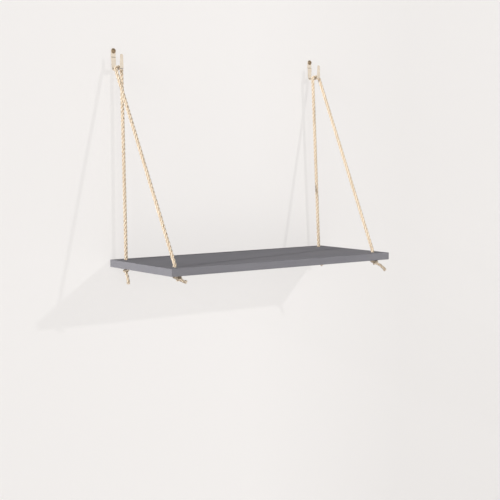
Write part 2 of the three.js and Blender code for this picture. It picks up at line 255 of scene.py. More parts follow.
def board_paint():
    """Grey paint, rolled on thin over wood whose long grain shows faintly."""
    material, nodes, links, output = tree("board_paint")
    place = nodes.new("ShaderNodeTexCoord").outputs["Object"]
    grain = noise(nodes, links, scaled(nodes, links, place, (9, 260, 260)), 1, 5)
    rolled = noise(nodes, links, place, 900, 3)
    patches = noise(nodes, links, scaled(nodes, links, place, (4, 9, 9)), 1, 3)
    tone = ramp(nodes, links, patches, (0.3, (0.251, 0.245, 0.264)), (0.7, (0.277, 0.27, 0.29)))
    streaked = ramp(nodes, links, grain, (0.35, (0.93, 0.93, 0.93)), (0.65, (1, 1, 1)))
    principled = shader(nodes, links, output, Roughness=0.85, Specular_IOR_Level=0.06)
    links.new(mixed(nodes, links, 0.8, tone, streaked, "MULTIPLY"), principled.inputs["Base Color"])
    height = math_node(nodes, links, "ADD", grain, math_node(nodes, links, "MULTIPLY", rolled, 0.35))
    bump(nodes, links, height, 0.35, 0.0003, principled)
    return material


def rope_fibre():
    """Cream three-strand rope, with painted shade in the grooves between strands and between yarns. Its lay
    attribute holds millimetres along and around, and the groove depth that sets the painted groove shade.
    """
    material, nodes, links, output = tree("rope_fibre")
    attribute = nodes.new("ShaderNodeAttribute")
    attribute.attribute_name = "lay"
    lay = attribute.outputs["Vector"]
    parts = nodes.new("ShaderNodeSeparateXYZ")
    links.new(lay, parts.inputs["Vector"])
    wobble = noise(nodes, links, scaled(nodes, links, lay, (0.25, 0.6, 0)), 1, 2)
    leaning = nodes.new("ShaderNodeVectorMath")
    leaning.operation = "DOT_PRODUCT"
    leaning.inputs[1].default_value = (4.2, 5.6, 0)
    links.new(lay, leaning.inputs[0])
    wavy = math_node(nodes, links, "MULTIPLY", wobble, 5.0)
    phase = math_node(nodes, links, "ADD", leaning.outputs["Value"], wavy)
    wave = math_node(nodes, links, "SINE", math_node(nodes, links, "MULTIPLY", phase, 0.5))
    yarn = math_node(nodes, links, "ABSOLUTE", wave)
    fibres = noise(nodes, links, scaled(nodes, links, lay, (1.1, 9, 0)), 1, 4, 0.65)
    patches = noise(nodes, links, scaled(nodes, links, lay, (0.08, 0.2, 0)), 1, 2)
    cream = ramp(nodes, links, patches, (0.3, (0.88, 0.735, 0.56)), (0.7, (0.955, 0.83, 0.655)))
    flecked = ramp(nodes, links, fibres, (0.3, (0.84, 0.79, 0.72)), (0.62, (1, 1, 1)))
    body = mixed(nodes, links, 0.6, cream, flecked, "MULTIPLY")
    # Painted shade: the colour darkens in the valleys between the yarns.
    yarn_shade = ramp(nodes, links, yarn, (0.0, (0.76, 0.68, 0.58)), (0.45, (1, 1, 1)))
    spun = mixed(nodes, links, 0.6, body, yarn_shade, "MULTIPLY")
    # Painted shade: the colour darkens deep in the grooves between the strands.
    groove_shade = ramp(nodes, links, parts.outputs["Z"], (0.4, (1, 1, 1)), (1.0, (0.6, 0.44, 0.31)))
    principled = shader(
        nodes, links, output, Roughness=0.88, Specular_IOR_Level=0.2, Sheen_Weight=0.5, Sheen_Roughness=0.5
    )
    links.new(mixed(nodes, links, 1.0, spun, groove_shade, "MULTIPLY"), principled.inputs["Base Color"])
    height = math_node(nodes, links, "ADD", yarn, math_node(nodes, links, "MULTIPLY", fibres, 0.8))
    bump(nodes, links, height, 0.8, 0.00035, principled)
    return material


def metal(name, light, dark, roughness):
    """Polished metal with faint drawing marks along the strip."""
    material, nodes, links, output = tree(name)
    place = nodes.new("ShaderNodeTexCoord").outputs["Object"]
    marks = noise(nodes, links, scaled(nodes, links, place, (2600, 700, 120)), 1, 3)
    smudges = noise(nodes, links, place, 130, 3)
    principled = shader(nodes, links, output, Metallic=1.0, Roughness=roughness)
    links.new(ramp(nodes, links, smudges, (0.3, dark), (0.7, light)), principled.inputs["Base Color"])
    bump(nodes, links, marks, 0.12, 0.0001, principled)
    return material


def plug_plastic():
    material, nodes, links, output = tree("plug_plastic")
    place = nodes.new("ShaderNodeTexCoord").outputs["Object"]
    speckle = noise(nodes, links, place, 1500, 3)
    principled = shader(nodes, links, output, Roughness=0.5)
    tone = ramp(nodes, links, speckle, (0.3, (0.42, 0.41, 0.39)), (0.7, (0.5, 0.49, 0.47)))
    links.new(tone, principled.inputs["Base Color"])
    bump(nodes, links, speckle, 0.25, 0.0001, principled)
    return material


MATERIALS = {
    "board": board_paint(),
    "rope": rope_fibre(),
    "hook": metal("hook_brass", (0.94, 0.845, 0.72), (0.87, 0.755, 0.615), 0.14),
    "screw": metal("screw_brass", (0.52, 0.39, 0.26), (0.32, 0.235, 0.145), 0.25),
    "plug": plug_plastic(),
}


def smooth(mesh, sharp):
    """Smooth shading, apart from edges over the sharp angle in degrees."""
    for polygon in mesh.polygons:
        polygon.use_smooth = True
    mesh.set_sharp_from_angle(angle=math.radians(sharp))


def piece(name, mesh, slot, sharp=40):
    """A new object of the shelf with its slot's material."""
    mesh.materials.clear()
    mesh.materials.append(MATERIALS[slot])
    smooth(mesh, sharp)
    made = bpy.data.objects.new(name, mesh)
    scene.collection.objects.link(made)
    return made


def lofted(name, rings):
    """A closed mesh over a row of rings with equal point counts, with a flat cap at each end."""
    rings = np.asarray(rings)
    rows, count, _ = rings.shape
    faces = []
    for row in range(rows - 1):
        for k in range(count):
            after = (k + 1) % count
            low = row * count
            faces.append((low + k, low + after, low + count + after, low + count + k))
    faces.append(tuple(reversed(range(count))))
    faces.append(tuple(range((rows - 1) * count, rows * count)))
    mesh = bpy.data.meshes.new(name)
    mesh.from_pydata([tuple(point) for point in rings.reshape(-1, 3)], [], faces)
    mesh.validate()
    mesh.update()
    return mesh


def facing_out(mesh):
    made = bmesh.new()
    made.from_mesh(mesh)
    bmesh.ops.recalc_face_normals(made, faces=made.faces)
    made.to_mesh(mesh)
    made.free()
    return mesh


def cut(target, cutters):
    """Cuts the cutters' meshes out of the target, and removes them."""
    for cutter in cutters:
        tool = bpy.data.objects.new("cutter", facing_out(cutter))
        scene.collection.objects.link(tool)
        modifier = target.modifiers.new("cut", "BOOLEAN")
        modifier.operation = "DIFFERENCE"
        modifier.solver = "EXACT"
        modifier.object = tool
        bpy.context.view_layer.update()
        shown = target.evaluated_get(bpy.context.evaluated_depsgraph_get())
        cut_mesh = bpy.data.meshes.new_from_object(shown)
        target.modifiers.clear()
        target.data = cut_mesh
        bpy.data.objects.remove(tool)


def turned(name, profile, turns, axis_x):
    """A mesh of (radius, distance into the wall) points turned about a hook's screw axis."""
    rings = []
    for k in range(turns):
        angle = 2 * math.pi * k / turns
        rings.append([(axis_x + r * math.cos(angle), depth, r * math.sin(angle)) for r, depth in profile])
    count = len(profile)
    faces = []
    for k in range(turns):
        low, high = k * count, ((k + 1) % turns) * count
        faces += [(low + j, low + j + 1, high + j + 1, high + j) for j in range(count - 1)]
    mesh = bpy.data.meshes.new(name)
    mesh.from_pydata([point for ring in rings for point in ring], [], faces)
    made = bmesh.new()
    made.from_mesh(mesh)
    bmesh.ops.remove_doubles(made, verts=made.verts, dist=1e-7)
    bmesh.ops.recalc_face_normals(made, faces=made.faces)
    made.to_mesh(mesh)
    made.free()
    return mesh


def smooth_share(value, low, high):
    share = np.clip((value - low) / (high - low), 0, 1)
    return share * share * (3 - 2 * share)


def straight(first, last, steps=40):
    share = np.linspace(0, 1, steps)[:, None]
    return np.array(first) * (1 - share) + np.array(last) * share


def bezier(first, second, third, last, steps=40):
    t = np.linspace(0, 1, steps)[:, None]
    first, second, third, last = (np.array(point) for point in (first, second, third, last))
    return first * (1 - t) ** 3 + 3 * second * t * (1 - t) ** 2 + 3 * third * t**2 * (1 - t) + last * t**3


def spline(points, steps=40):
    """The centripetal Catmull-Rom curve through the points, one run of samples for each span."""
    points = np.asarray(points)
    padded = np.vstack([2 * points[0] - points[1], points, 2 * points[-1] - points[-2]])
    t = np.linspace(0, 1, steps)[:, None]
    spans = []
    for a, b, c, d in zip(padded, padded[1:], padded[2:], padded[3:]):
        ab, bc, cd = (math.sqrt(np.linalg.norm(q - p)) for p, q in ((a, b), (b, c), (c, d)))
        start = bc * ((b - a) / ab - (c - a) / (ab + bc) + (c - b) / bc)
        end = bc * ((c - b) / bc - (d - b) / (bc + cd) + (d - c) / cd)
        square, cube = 3 * c - 3 * b - 2 * start - end, 2 * b - 2 * c + start + end
        spans.append(b + start * t + square * t**2 + cube * t**3)
    return spans


def length_of(line):
    return np.concatenate([[0], np.cumsum(np.linalg.norm(np.diff(line, axis=0), axis=1))])


def joined(runs):
    """One line from runs that meet end to end."""
    line = np.vstack(runs)
    keep = np.concatenate([[True], np.linalg.norm(np.diff(line, axis=0), axis=1) > 1e-9])
    return line[keep]


def even(line, step):
    """The same line with its points an even step apart."""
    along = length_of(line)
    count = max(2, round(along[-1] / step) + 1)
    wanted = np.linspace(0, along[-1], count)
    return np.column_stack([np.interp(wanted, along, line[:, axis]) for axis in range(3)])


def end_runs(end):
    """The knot and the free tail of one rope end, as lines from the board's top down."""
    side, place = end.split("_")
    foot = BACK_FOOT[side]
    y = foot.y if place == "back" else BOARD_LOW.y + FRONT_HOLE_FROM_EDGE
    hole = np.array((foot.x, y, BOARD_LOW.z))
    turn, aside, free = ROPE_ENDS[end]
    turned_by = np.array(Matrix.Rotation(math.radians(turn), 3, "Z"))
    thickness = BOARD_HIGH.z - BOARD_LOW.z
    points = [hole + (0, 0, thickness), hole + (0, 0, thickness / 2)]
    for point in KNOT_SHARES:
        drawn = smooth_share(-point[2], ASIDE_FROM_SHARE, ASIDE_TO_SHARE)
        points.append(hole + (turned_by @ np.array(point) + np.array((*aside, 0)) * drawn) * ROPE_DIAMETER)
    knot_spans = len(points) - 1
    points += [hole + np.array(point) * ROPE_DIAMETER for point in free]
    spans = spline(points)
    return joined(spans[:knot_spans]), joined(spans[knot_spans:])


def leg_places(side):
    """The foot and the shoulder of the back leg and of the front leg."""
    sign, seat, foot = SIDES[side], SEAT[side], BACK_FOOT[side]
    front_y = BOARD_LOW.y + FRONT_HOLE_FROM_EDGE
    down = seat.z - SADDLE_BEND
    return {
        "back": (np.array(foot), np.array((seat.x - sign * LEG_OUT, seat.y + BACK_LEG_LAG[side], down))),
        "front": (
            np.array((foot.x, front_y, foot.z)),
            np.array((seat.x + sign * LEG_OUT, seat.y - FRONT_LEG_LEAD, down)),
        ),
    }


def leg_run(foot, shoulder):
    """A leg from the board's top up to its shoulder, eased where it leaves the hole."""
    up = shoulder - foot
    up /= np.linalg.norm(up)
    bottom = np.array((foot[0], foot[1], BOARD_HIGH.z))
    start = foot - (0, 0, min(FOOT_BEND, foot[2] - bottom[2]))
    leave = foot + up * FOOT_BEND
    before, after = (point + (foot - point) * FOOT_HANDLE_SHARE for point in (start, leave))
    bend = bezier(start, before, after, leave, 24)
    return joined([straight(bottom, start, 4), bend, straight(leave, shoulder, 200)])


def saddle_run(side, places):
    """The turn over the bar, from the back leg's shoulder to the front leg's, nearly square across it."""
    top = np.array(SEAT[side])
    shares = (1 - SADDLE_BEND / LEG_OUT, SKEW_SHARE, 0)
    flats = [top + (places[end][1] - top) * shares for end in ("back", "front")]
    across = (flats[0] - flats[1]) / np.linalg.norm(flats[0] - flats[1])
    halves = []
    for end, flat, outward in zip(("back", "front"), flats, (across, -across)):
        foot, shoulder = places[end]
        down = (foot - shoulder) / np.linalg.norm(foot - shoulder)
        handle = TURN_HANDLE_SHARE * np.linalg.norm(shoulder - flat)
        halves.append(bezier(shoulder, shoulder - down * handle, flat + outward * handle, flat))
    return joined([halves[0], straight(halves[0][-1], halves[1][-1], 20), halves[1][::-1]])


def rope_sections(side):
    """One side's rope as named lines that meet end to end, from the back tail to the front tail."""
    places = leg_places(side)
    back_knot, back_tail = end_runs(f"{side}_back")
    front_knot, front_tail = end_runs(f"{side}_front")
    legs = {}
    for end in ("back", "front"):
        leg = leg_run(*places[end])
        middle = length_of(leg)[-1] / 2
        split = int(np.searchsorted(length_of(leg), middle))
        legs[end] = (leg[: split + 1], leg[split:])
    upper = joined([legs["back"][1], saddle_run(side, places), legs["front"][1][::-1]])
    return {
        "back_tail": back_tail[::-1],
        "back_knot": back_knot[::-1],
        "back_lower": legs["back"][0],
        "upper": upper,
        "front_lower": legs["front"][0][::-1],
        "front_knot": front_knot,
        "front_tail": front_tail,
    }


def radius_share(section, along, length):
    """How thick the rope is, as a share of its full radius, at a distance along a section."""
    if section.endswith("knot"):
        from_board = along if section.startswith("front") else length - along
        thickness = BOARD_HIGH.z - BOARD_LOW.z
        drawn = smooth_share(from_board, thickness, thickness + ROPE_DIAMETER)
        return 1 + (KNOT_DIAMETER_SHARE - 1) * drawn
    if section.endswith("tail"):
        from_knot = (along if section.startswith("front") else length - along) / length
        loosened = smooth_share(from_knot, 0, LOOSENED_SHARE)
        flared = smooth_share(from_knot, FLARED_SHARE, 1)
        grown = KNOT_DIAMETER_SHARE + (TAIL_DIAMETER_SHARE - KNOT_DIAMETER_SHARE) * loosened
        return grown + (TAIL_FLARE_SHARE - TAIL_DIAMETER_SHARE) * flared
    return np.ones_like(along)


def strand_profile():
    """Round three strands from groove to groove: each point's angle, share of the radius and groove."""
    count = 3 * POINTS_PER_STRAND
    angles = 2 * np.pi * np.arange(count) / count
    within = (angles % (2 * np.pi / 3)) - np.pi / 3
    reach = np.sqrt(STRAND_RADIUS_SHARE**2 - (STRAND_OFFSET_SHARE * np.sin(within)) ** 2)
    share = STRAND_OFFSET_SHARE * np.cos(within) + reach
    groove = (np.abs(within) / (np.pi / 3)) ** 2
    return angles, share, groove


def rope_mesh(name, centre, normal, binormal, along, radius):
    """The rope's skin on a row of frames, with its lay attribute for the material."""
    angles, share, groove = strand_profile()
    twist = 2 * np.pi * along / ROPE_PITCH
    phase = angles[None, :] + twist[:, None]
    reach = radius[:, None] * share[None, :]
    rings = centre[:, None, :] + reach[..., None] * (
        np.cos(phase)[..., None] * normal[:, None, :] + np.sin(phase)[..., None] * binormal[:, None, :]
    )
    mesh = lofted(name, rings)
    count = len(angles)
    rows = len(centre)
    corner = np.zeros(len(mesh.loops), int)
    mesh.loops.foreach_get("vertex_index", corner)
    row, column = corner // count, corner % count
    around = angles[column] * ROPE_RADIUS
    wraps = np.zeros(len(corner), bool)
    sides = (rows - 1) * count * 4
    per_face = column[:sides].reshape(-1, 4)
    seam = (per_face.max(1) == count - 1) & (per_face.min(1) == 0)
    wraps[:sides] = np.repeat(seam, 4) & (column[:sides] == 0)
    around = around + wraps * 2 * np.pi * ROPE_RADIUS
    # The third value, the groove, sets the rope's painted groove shade in its material.
    values = np.column_stack([along[row] * 1000, around * 1000, groove[column]])
    attribute = mesh.attributes.new("lay", "FLOAT_VECTOR", "CORNER")
    attribute.data.foreach_set("vector", values.astype(np.float32).ravel())
    return mesh


def frames_along(centre):
    """Normals that turn as little as they can along a line, and the directions square to both."""
    tangent = np.gradient(centre, axis=0)
    tangent /= np.linalg.norm(tangent, axis=1)[:, None]
    normal = np.zeros_like(centre)
    first = np.cross(tangent[0], (1.0, 0.0, 0.0))
    normal[0] = first / np.linalg.norm(first)
    for k in range(1, len(centre)):
        flat = normal[k - 1] - tangent[k] * np.dot(normal[k - 1], tangent[k])
        normal[k] = flat / np.linalg.norm(flat)
    return normal, np.cross(tangent, normal)


def rope(side):
    """All the pieces of one side's rope, cut from one twisted line so that their strands run on."""
    sections = {name: even(line, RING_STEP) for name, line in rope_sections(side).items()}
    centre = joined(list(sections.values()))
    along = length_of(centre)
    normal, binormal = frames_along(centre)
    radius = np.zeros(len(centre))
    spans = {}
    start = 0
    for name, line in sections.items():
        end = start + len(line) - 1
        distance = along[start : end + 1] - along[start]
        radius[start : end + 1] = ROPE_RADIUS * radius_share(name, distance, distance[-1])
        spans[name] = slice(start, end + 1)
        start = end
    made = {}
    for name, span in spans.items():
        mesh = rope_mesh(name, centre[span], normal[span], binormal[span], along[span], radius[span])
        made[name] = (piece(f"{side}_rope_{name}", mesh, "rope", 75), centre[span])
    return made


def fray(side, end, line, seed):
    """Loose yarn ends out of the cut end of a tail."""
    chance = np.random.default_rng(seed)
    tip, inner = line[-1], line[-4]
    out = tip - inner
    out /= np.linalg.norm(out)
    first = np.cross(out, (0.0, 1.0, 0.0))
    first /= np.linalg.norm(first)
    second = np.cross(out, first)
    yarns = bmesh.new()
    layer = yarns.loops.layers.float_vector.new("lay")
    turns = np.arange(YARN_SIDES) * 2 * math.pi / YARN_SIDES
    round_yarn = [first * math.cos(turn) + second * math.sin(turn) for turn in turns]
    for _ in range(YARNS):
        angle = chance.uniform(0, 2 * math.pi)
        spread = math.sqrt(chance.uniform(0, 1))
        away = first * math.cos(angle) + second * math.sin(angle)
        root = tip - out * YARN_ROOT_DEPTH + away * spread * ROPE_RADIUS * YARN_ROOT_SHARE
        reach = chance.uniform(*YARN_REACH)
        lean = away * spread * chance.uniform(*YARN_SPREAD_SHARES)
        lean = lean + second * chance.uniform(-YARN_LEAN_SHARE, YARN_LEAN_SHARE)
        thickness = chance.uniform(*YARN_RADIUS)
        rings = []
        for t in np.linspace(0, 1, 5):
            centre = root + out * reach * t + lean * reach * t * t
            width = thickness * (1 - YARN_TAPER_SHARE * t)
            rings.append([yarns.verts.new(centre + width * across) for across in round_yarn])
        faces = [rings[0][::-1], rings[-1]]
        for low, high in zip(rings, rings[1:]):
            for k in range(YARN_SIDES):
                after = (k + 1) % YARN_SIDES
                faces.append((low[k], low[after], high[after], high[k]))
        for corners in faces:
            for loop in yarns.faces.new(corners).loops:
                loop[layer] = (0, angle, YARN_GROOVE_SHADE_SHARE)
    mesh = bpy.data.meshes.new(f"{side}_{end}_fray")
    bmesh.ops.recalc_face_normals(yarns, faces=yarns.faces)
    yarns.to_mesh(mesh)
    yarns.free()
    return piece(f"{side}_rope_{end}_fray", mesh, "rope", 60)


def ropes():
    """Both ropes. Each leg bends at the hook and at the board, and its knot and tail ride on the board."""
    for side in SIDES:
        made = rope(side)
        upper, upper_line = made["upper"]
        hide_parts(f"{side}_rope_saddle", f"{side}_rope_back_leg", f"{side}_rope_front_leg")
        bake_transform(upper)
        for end in ("back", "front"):
            lower, lower_line = made[f"{end}_lower"]
            knot, _ = made[f"{end}_knot"]
            tail, tail_line = made[f"{end}_tail"]
            outward = tail_line if end == "front" else tail_line[::-1]
            loose = fray(side, end, outward, FIRST_SEED + 2 * list(SIDES).index(side) + (end == "front"))
            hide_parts(f"{side}_rope_{end}_leg")
            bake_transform(lower)
            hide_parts(f"{side}_{end}_knot")
            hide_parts(f"{side}_{end}_tail")
            for riding in (knot, tail, loose):
                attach(riding, "board")


def painted_board():
    """The board: eased edges and four holes with small chamfers."""
    low, high = BOARD_LOW, BOARD_HIGH
    made = bmesh.new()
    bmesh.ops.create_cube(made, size=1)
    size = high - low
    for vertex in made.verts:
        vertex.co = Vector([low[axis] + size[axis] * (vertex.co[axis] + 0.5) for axis in range(3)])
    bmesh.ops.bevel(
        made, geom=made.edges[:], offset=BOARD_EDGE, offset_type="OFFSET", segments=3, profile=0.5,
        affect="EDGES",
    )
    mesh = bpy.data.meshes.new("painted_board")
    made.to_mesh(mesh)
    made.free()
    board = piece("painted_board", mesh, "board")
    over = HOLE_CHAMFER
    profile = [
        (0, high.z + over),
        (HOLE_RADIUS + 2 * over, high.z + over),
        (HOLE_RADIUS, high.z - over),
        (HOLE_RADIUS, low.z + over),
        (HOLE_RADIUS + 2 * over, low.z - over),
        (0, low.z - over),
    ]
    cutters = []
    for foot in BACK_FOOT.values():
        for y in (foot.y, low.y + FRONT_HOLE_FROM_EDGE):
            cutter = turned("hole", profile, 48, 0)
            cutter.transform(Matrix.Translation((foot.x, y, 0)) @ Matrix.Rotation(math.radians(90), 4, "X"))
            cutters.append(cutter)
    cut(board, cutters)
    after_cut(board)
    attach(board, "board")
    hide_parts("board")


def after_cut(made, sharp=40):
    """Marks the sharp edges again, and keeps flat faces flat beside rounded edges."""
    smooth(made.data, sharp)
    weighted = made.modifiers.new("flat_faces", "WEIGHTED_NORMAL")
    weighted.keep_sharp = True


def hook_line():
    """The hook's bent line, as (distance from wall, height), closely spaced."""
    half = STRIP_THICKNESS / 2
    bend = BEND_RADIUS + half
    stem = half + STEP_HEIGHT
    bar = -BAR_DROP + half
    tip = TIP_REACH - half
    middle = -STEP_DROP - STEP_LENGTH / 2
    arc = np.linspace(0, math.pi / 2, 24)
    lower_bend = np.column_stack([stem + bend - bend * np.cos(arc), bar + bend - bend * np.sin(arc)])
    outer_bend = np.column_stack([tip - bend + bend * np.sin(arc), bar + bend - bend * np.cos(arc)])
    step = bezier(
        (half, -STEP_DROP), (half, middle), (stem, middle), (stem, -STEP_DROP - STEP_LENGTH), 16
    )
    return joined([
        straight((half, PLATE_RISE), (half, -STEP_DROP), 60),
        step,
        straight((stem, -STEP_DROP - STEP_LENGTH), (stem, bar + bend), 20),
        lower_bend,
        straight((stem + bend, bar), (tip - bend, bar), 20),
        outer_bend,
        straight((tip, bar + bend), (tip, -TIP_DROP), 60),
    ])


def strip_widths(along):
    """The strip's width along its line: a round plate that narrows to the bar and to the round tip."""
    total = along[-1]
    to_bar = smooth_share(along, PLATE_RISE + STEP_DROP, PLATE_RISE + BAR_DROP)
    bar_end = total - (BAR_DROP - TIP_DROP)
    to_tip = np.clip((along - bar_end) / (total - bar_end), 0, 1)
    full = PLATE_WIDTH + (BAR_WIDTH - PLATE_WIDTH) * to_bar + (TIP_WIDTH - BAR_WIDTH) * to_tip
    top = PLATE_WIDTH / 2
    tip = TIP_WIDTH / 2
    top_left = np.maximum(top - along, 0)
    tip_left = np.maximum(along - (total - tip), 0)
    round_top = 2 * np.sqrt(np.maximum(top**2 - top_left**2, 0))
    round_tip = np.where(tip_left > 0, 2 * np.sqrt(np.maximum(tip**2 - tip_left**2, 0)), full)
    return np.minimum(np.minimum(full, round_top), round_tip)


def strip_ring(point, tangent, width, hook_x):
    """A rectangle with rounded corners across the strip."""
    corner_steps = 4
    half, across = STRIP_THICKNESS / 2, width / 2
    corner = min(STRIP_EDGE, CORNER_LIMIT_SHARE * across, CORNER_LIMIT_SHARE * half)
    ring = []
    for quarter, (sign_x, sign_t) in enumerate(((1, 1), (-1, 1), (-1, -1), (1, -1))):
        for k in range(corner_steps + 1):
            angle = math.pi / 2 * (quarter + k / corner_steps)
            x = sign_x * (across - corner) + corner * math.cos(angle)
            t = sign_t * (half - corner) + corner * math.sin(angle)
            ring.append((hook_x + x, -(point[0] - tangent[1] * t), point[1] + tangent[0] * t))
    return ring


def hook(side):
    """The brass strip, with its round ends, pressed step, two bends and screw hole."""
    hook_x = SEAT[side].x
    line = hook_line()
    along = length_of(line)
    total = along[-1]
    ends = 1 - np.cos(np.linspace(END_FROM_SHARE, 1, 14) * math.pi / 2)
    inner = along[(along > PLATE_WIDTH / 2) & (along < total - TIP_WIDTH / 2)]
    stations = np.concatenate([PLATE_WIDTH / 2 * ends[:-1], inner, total - TIP_WIDTH / 2 * ends[::-1]])
    points = np.column_stack([np.interp(stations, along, line[:, axis]) for axis in range(2)])
    slope = np.gradient(line, axis=0)
    slope /= np.linalg.norm(slope, axis=1)[:, None]
    tangents = np.column_stack([np.interp(stations, along, slope[:, axis]) for axis in range(2)])
    tangents /= np.linalg.norm(tangents, axis=1)[:, None]
    widths = strip_widths(np.append(stations, total))[:-1]
    rings = [strip_ring(*place, hook_x) for place in zip(points, tangents, widths)]
    made = piece(f"{side}_brass_hook", facing_out(lofted("strip", rings)), "hook")
    bore = SHANK_RADIUS + SHANK_CLEARANCE
    through = STRIP_THICKNESS
    profile = [(0, -2 * through), (bore, -2 * through), (bore, through), (0, through)]
    cut(made, [turned("bore", profile, 40, hook_x)])
    after_cut(made)
    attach(made, "wall_hooks")
    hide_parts(f"{side}_hook")


def crossed_slots(place, size, taper=1):
    """Two slots that cross on a screw's axis, their inner half narrower by the taper."""
    slots = []
    for turn in (0, 90):
        slot = bmesh.new()
        bmesh.ops.create_cube(slot, size=1)
        for vertex in slot.verts:
            x, y, z = vertex.co
            narrowed = 1 if y < 0 else taper
            vertex.co = Vector((x * size[0] * narrowed, y * size[1], z * size[2] * narrowed))
        mesh = bpy.data.meshes.new("slot")
        slot.to_mesh(mesh)
        slot.free()
        mesh.transform(Matrix.Translation(place) @ Matrix.Rotation(math.radians(turn), 4, "Y"))
        slots.append(mesh)
    return slots


def screw(side):
    """A dome-headed screw with a crossed recess and a helical thread."""
    hook_x = SEAT[side].x
    seat = -(STRIP_THICKNESS + HEAD_SEAT_GAP)
    head = [(0, seat - HEAD_HEIGHT)]
    for angle in np.linspace(0, math.pi / 2, 12)[1:-1]:
        head.append((HEAD_DIAMETER / 2 * math.sin(angle), seat - HEAD_HEIGHT * math.cos(angle)))
    rim = HEAD_HEIGHT * HEAD_RIM_SHARE
    head += [
        (HEAD_DIAMETER / 2, seat - rim),
        (HEAD_DIAMETER / 2 - rim / 2, seat),
        (SHANK_RADIUS * UNDERSIDE_SHARE, seat),
        (0, seat),
    ]
    made = piece(f"{side}_screw_head", turned("head", head, 56, hook_x), "screw")
    recess = (RECESS_SPAN, 2 * RECESS_DEPTH, RECESS_WIDTH)
    cut(made, crossed_slots((hook_x, seat - HEAD_HEIGHT, 0), recess, RECESS_TAPER_SHARE))
    after_cut(made, 35)
    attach(made, "wall_hooks")
    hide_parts(f"{side}_screw")
    shank = piece(f"{side}_screw_shank", thread_mesh(hook_x, seat), "screw", 50)
    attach(shank, "wall_hooks")
    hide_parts(f"{side}_screw")


def thread_mesh(hook_x, seat):
    """The shank: a sharp ridge wound round a core that tapers to a point."""
    around = 28
    plain_end = PLUG_INSET + THREAD_PITCH
    depths = np.arange(seat, SCREW_LENGTH, THREAD_PITCH / 10)
    rings = []
    for depth in np.append(depths, SCREW_LENGTH):
        left = max(SCREW_LENGTH - depth, 0)
        taper = min(1, POINT_TIP_SHARE + left / POINT_LENGTH)
        ring = []
        for k in range(around):
            angle = 2 * math.pi * k / around
            turn = (depth / THREAD_PITCH - k / around) % 1
            ridge = max(0, 1 - abs(turn - 0.5) * RIDGE_STEEPNESS)
            threaded = float(smooth_share(depth, plain_end, plain_end + THREAD_PITCH))
            core = SHANK_RADIUS - THREAD_DEPTH * (1 if threaded else PLAIN_CORE_SHARE)
            reach = (core + THREAD_DEPTH * ridge * threaded) * taper
            ring.append((hook_x + reach * math.cos(angle), depth, reach * math.sin(angle)))
        rings.append(ring)
    return facing_out(lofted("thread", rings))


def wall_plug(side):
    """A ribbed plastic plug, slotted from its far end so that the screw can spread it."""
    hook_x = SEAT[side].x
    bore = SHANK_RADIUS + SHANK_CLEARANCE
    outer = bore + PLUG_WALL
    end = PLUG_INSET + PLUG_LENGTH
    ribbed = outer + PLUG_RIB
    profile = [(bore, PLUG_INSET), (ribbed, PLUG_INSET), (ribbed, PLUG_INSET + PLUG_RIB)]
    foot = PLUG_INSET + PLUG_RIB_PITCH
    while foot < end - PLUG_RIB_PITCH:
        rib_end = foot + PLUG_RIB_PITCH * PLUG_RIB_SHARE
        profile += [(outer, foot), (ribbed, foot + PLUG_RIB / 3), (outer, rib_end)]
        foot += PLUG_RIB_PITCH
    profile += [(outer - PLUG_RIB, end), (bore, end), (bore, PLUG_INSET)]
    made = piece(f"{side}_plastic_plug", turned("plug", profile, 40, hook_x), "plug")
    cut(made, crossed_slots((hook_x, end, 0), (PLUG_SLOT, 2 * PLUG_SLOT_LENGTH, 4 * outer)))
    after_cut(made)
    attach(made, "wall_hooks")
    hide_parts(f"{side}_wall_plug")


# The wall and floor, which aren't part of the shelf
STAGE_REACH = 6.0
FLOOR_DROP = 1.25
WALL_COLOUR = (0.94, 0.912, 0.892)
GLOW_SHARE = 0.71
GLOW_FADE_SHARES = (0.53, 0.7, 0.9)
GLOW_SPAN = 3.0
BOUNCE_SHARE = 0.2
FLOOR_COLOUR = (0.86, 0.85, 0.84)
CEILING_COLOUR = (0.28, 0.27, 0.26)
AMBIENT = 0.07

# Lamps. A sun is its azimuth and elevation in degrees, its level, and its spread in degrees.
KEY_PLACE = (1.557, -2.783, 0.82)
KEY_TARGET = (0, 0, -0.3)
KEY_RADIUS = 0.04
KEY_LEVEL = 0.3
LEFT_WINDOW = (-88.5, 23.1, 0.9, 0.7)
LEFT_SOFT = (-72, -4, 0.34, 40)
FRONT_SOFT = (-6, -6, 0.26, 50)
SUN_DISTANCE = 3
STRIP_LEVEL = 0.8
STRIP_CENTRE = (-0.1, 0.003, -0.43)
STRIP_SIZE = (1.5, 0.45)


def plane(name, corners, material):
    mesh = bpy.data.meshes.new(name)
    mesh.from_pydata(corners, [], [(0, 1, 2, 3)])
    mesh.materials.append(material)
    made = bpy.data.objects.new(name, mesh)
    scene.collection.objects.link(made)
    return made


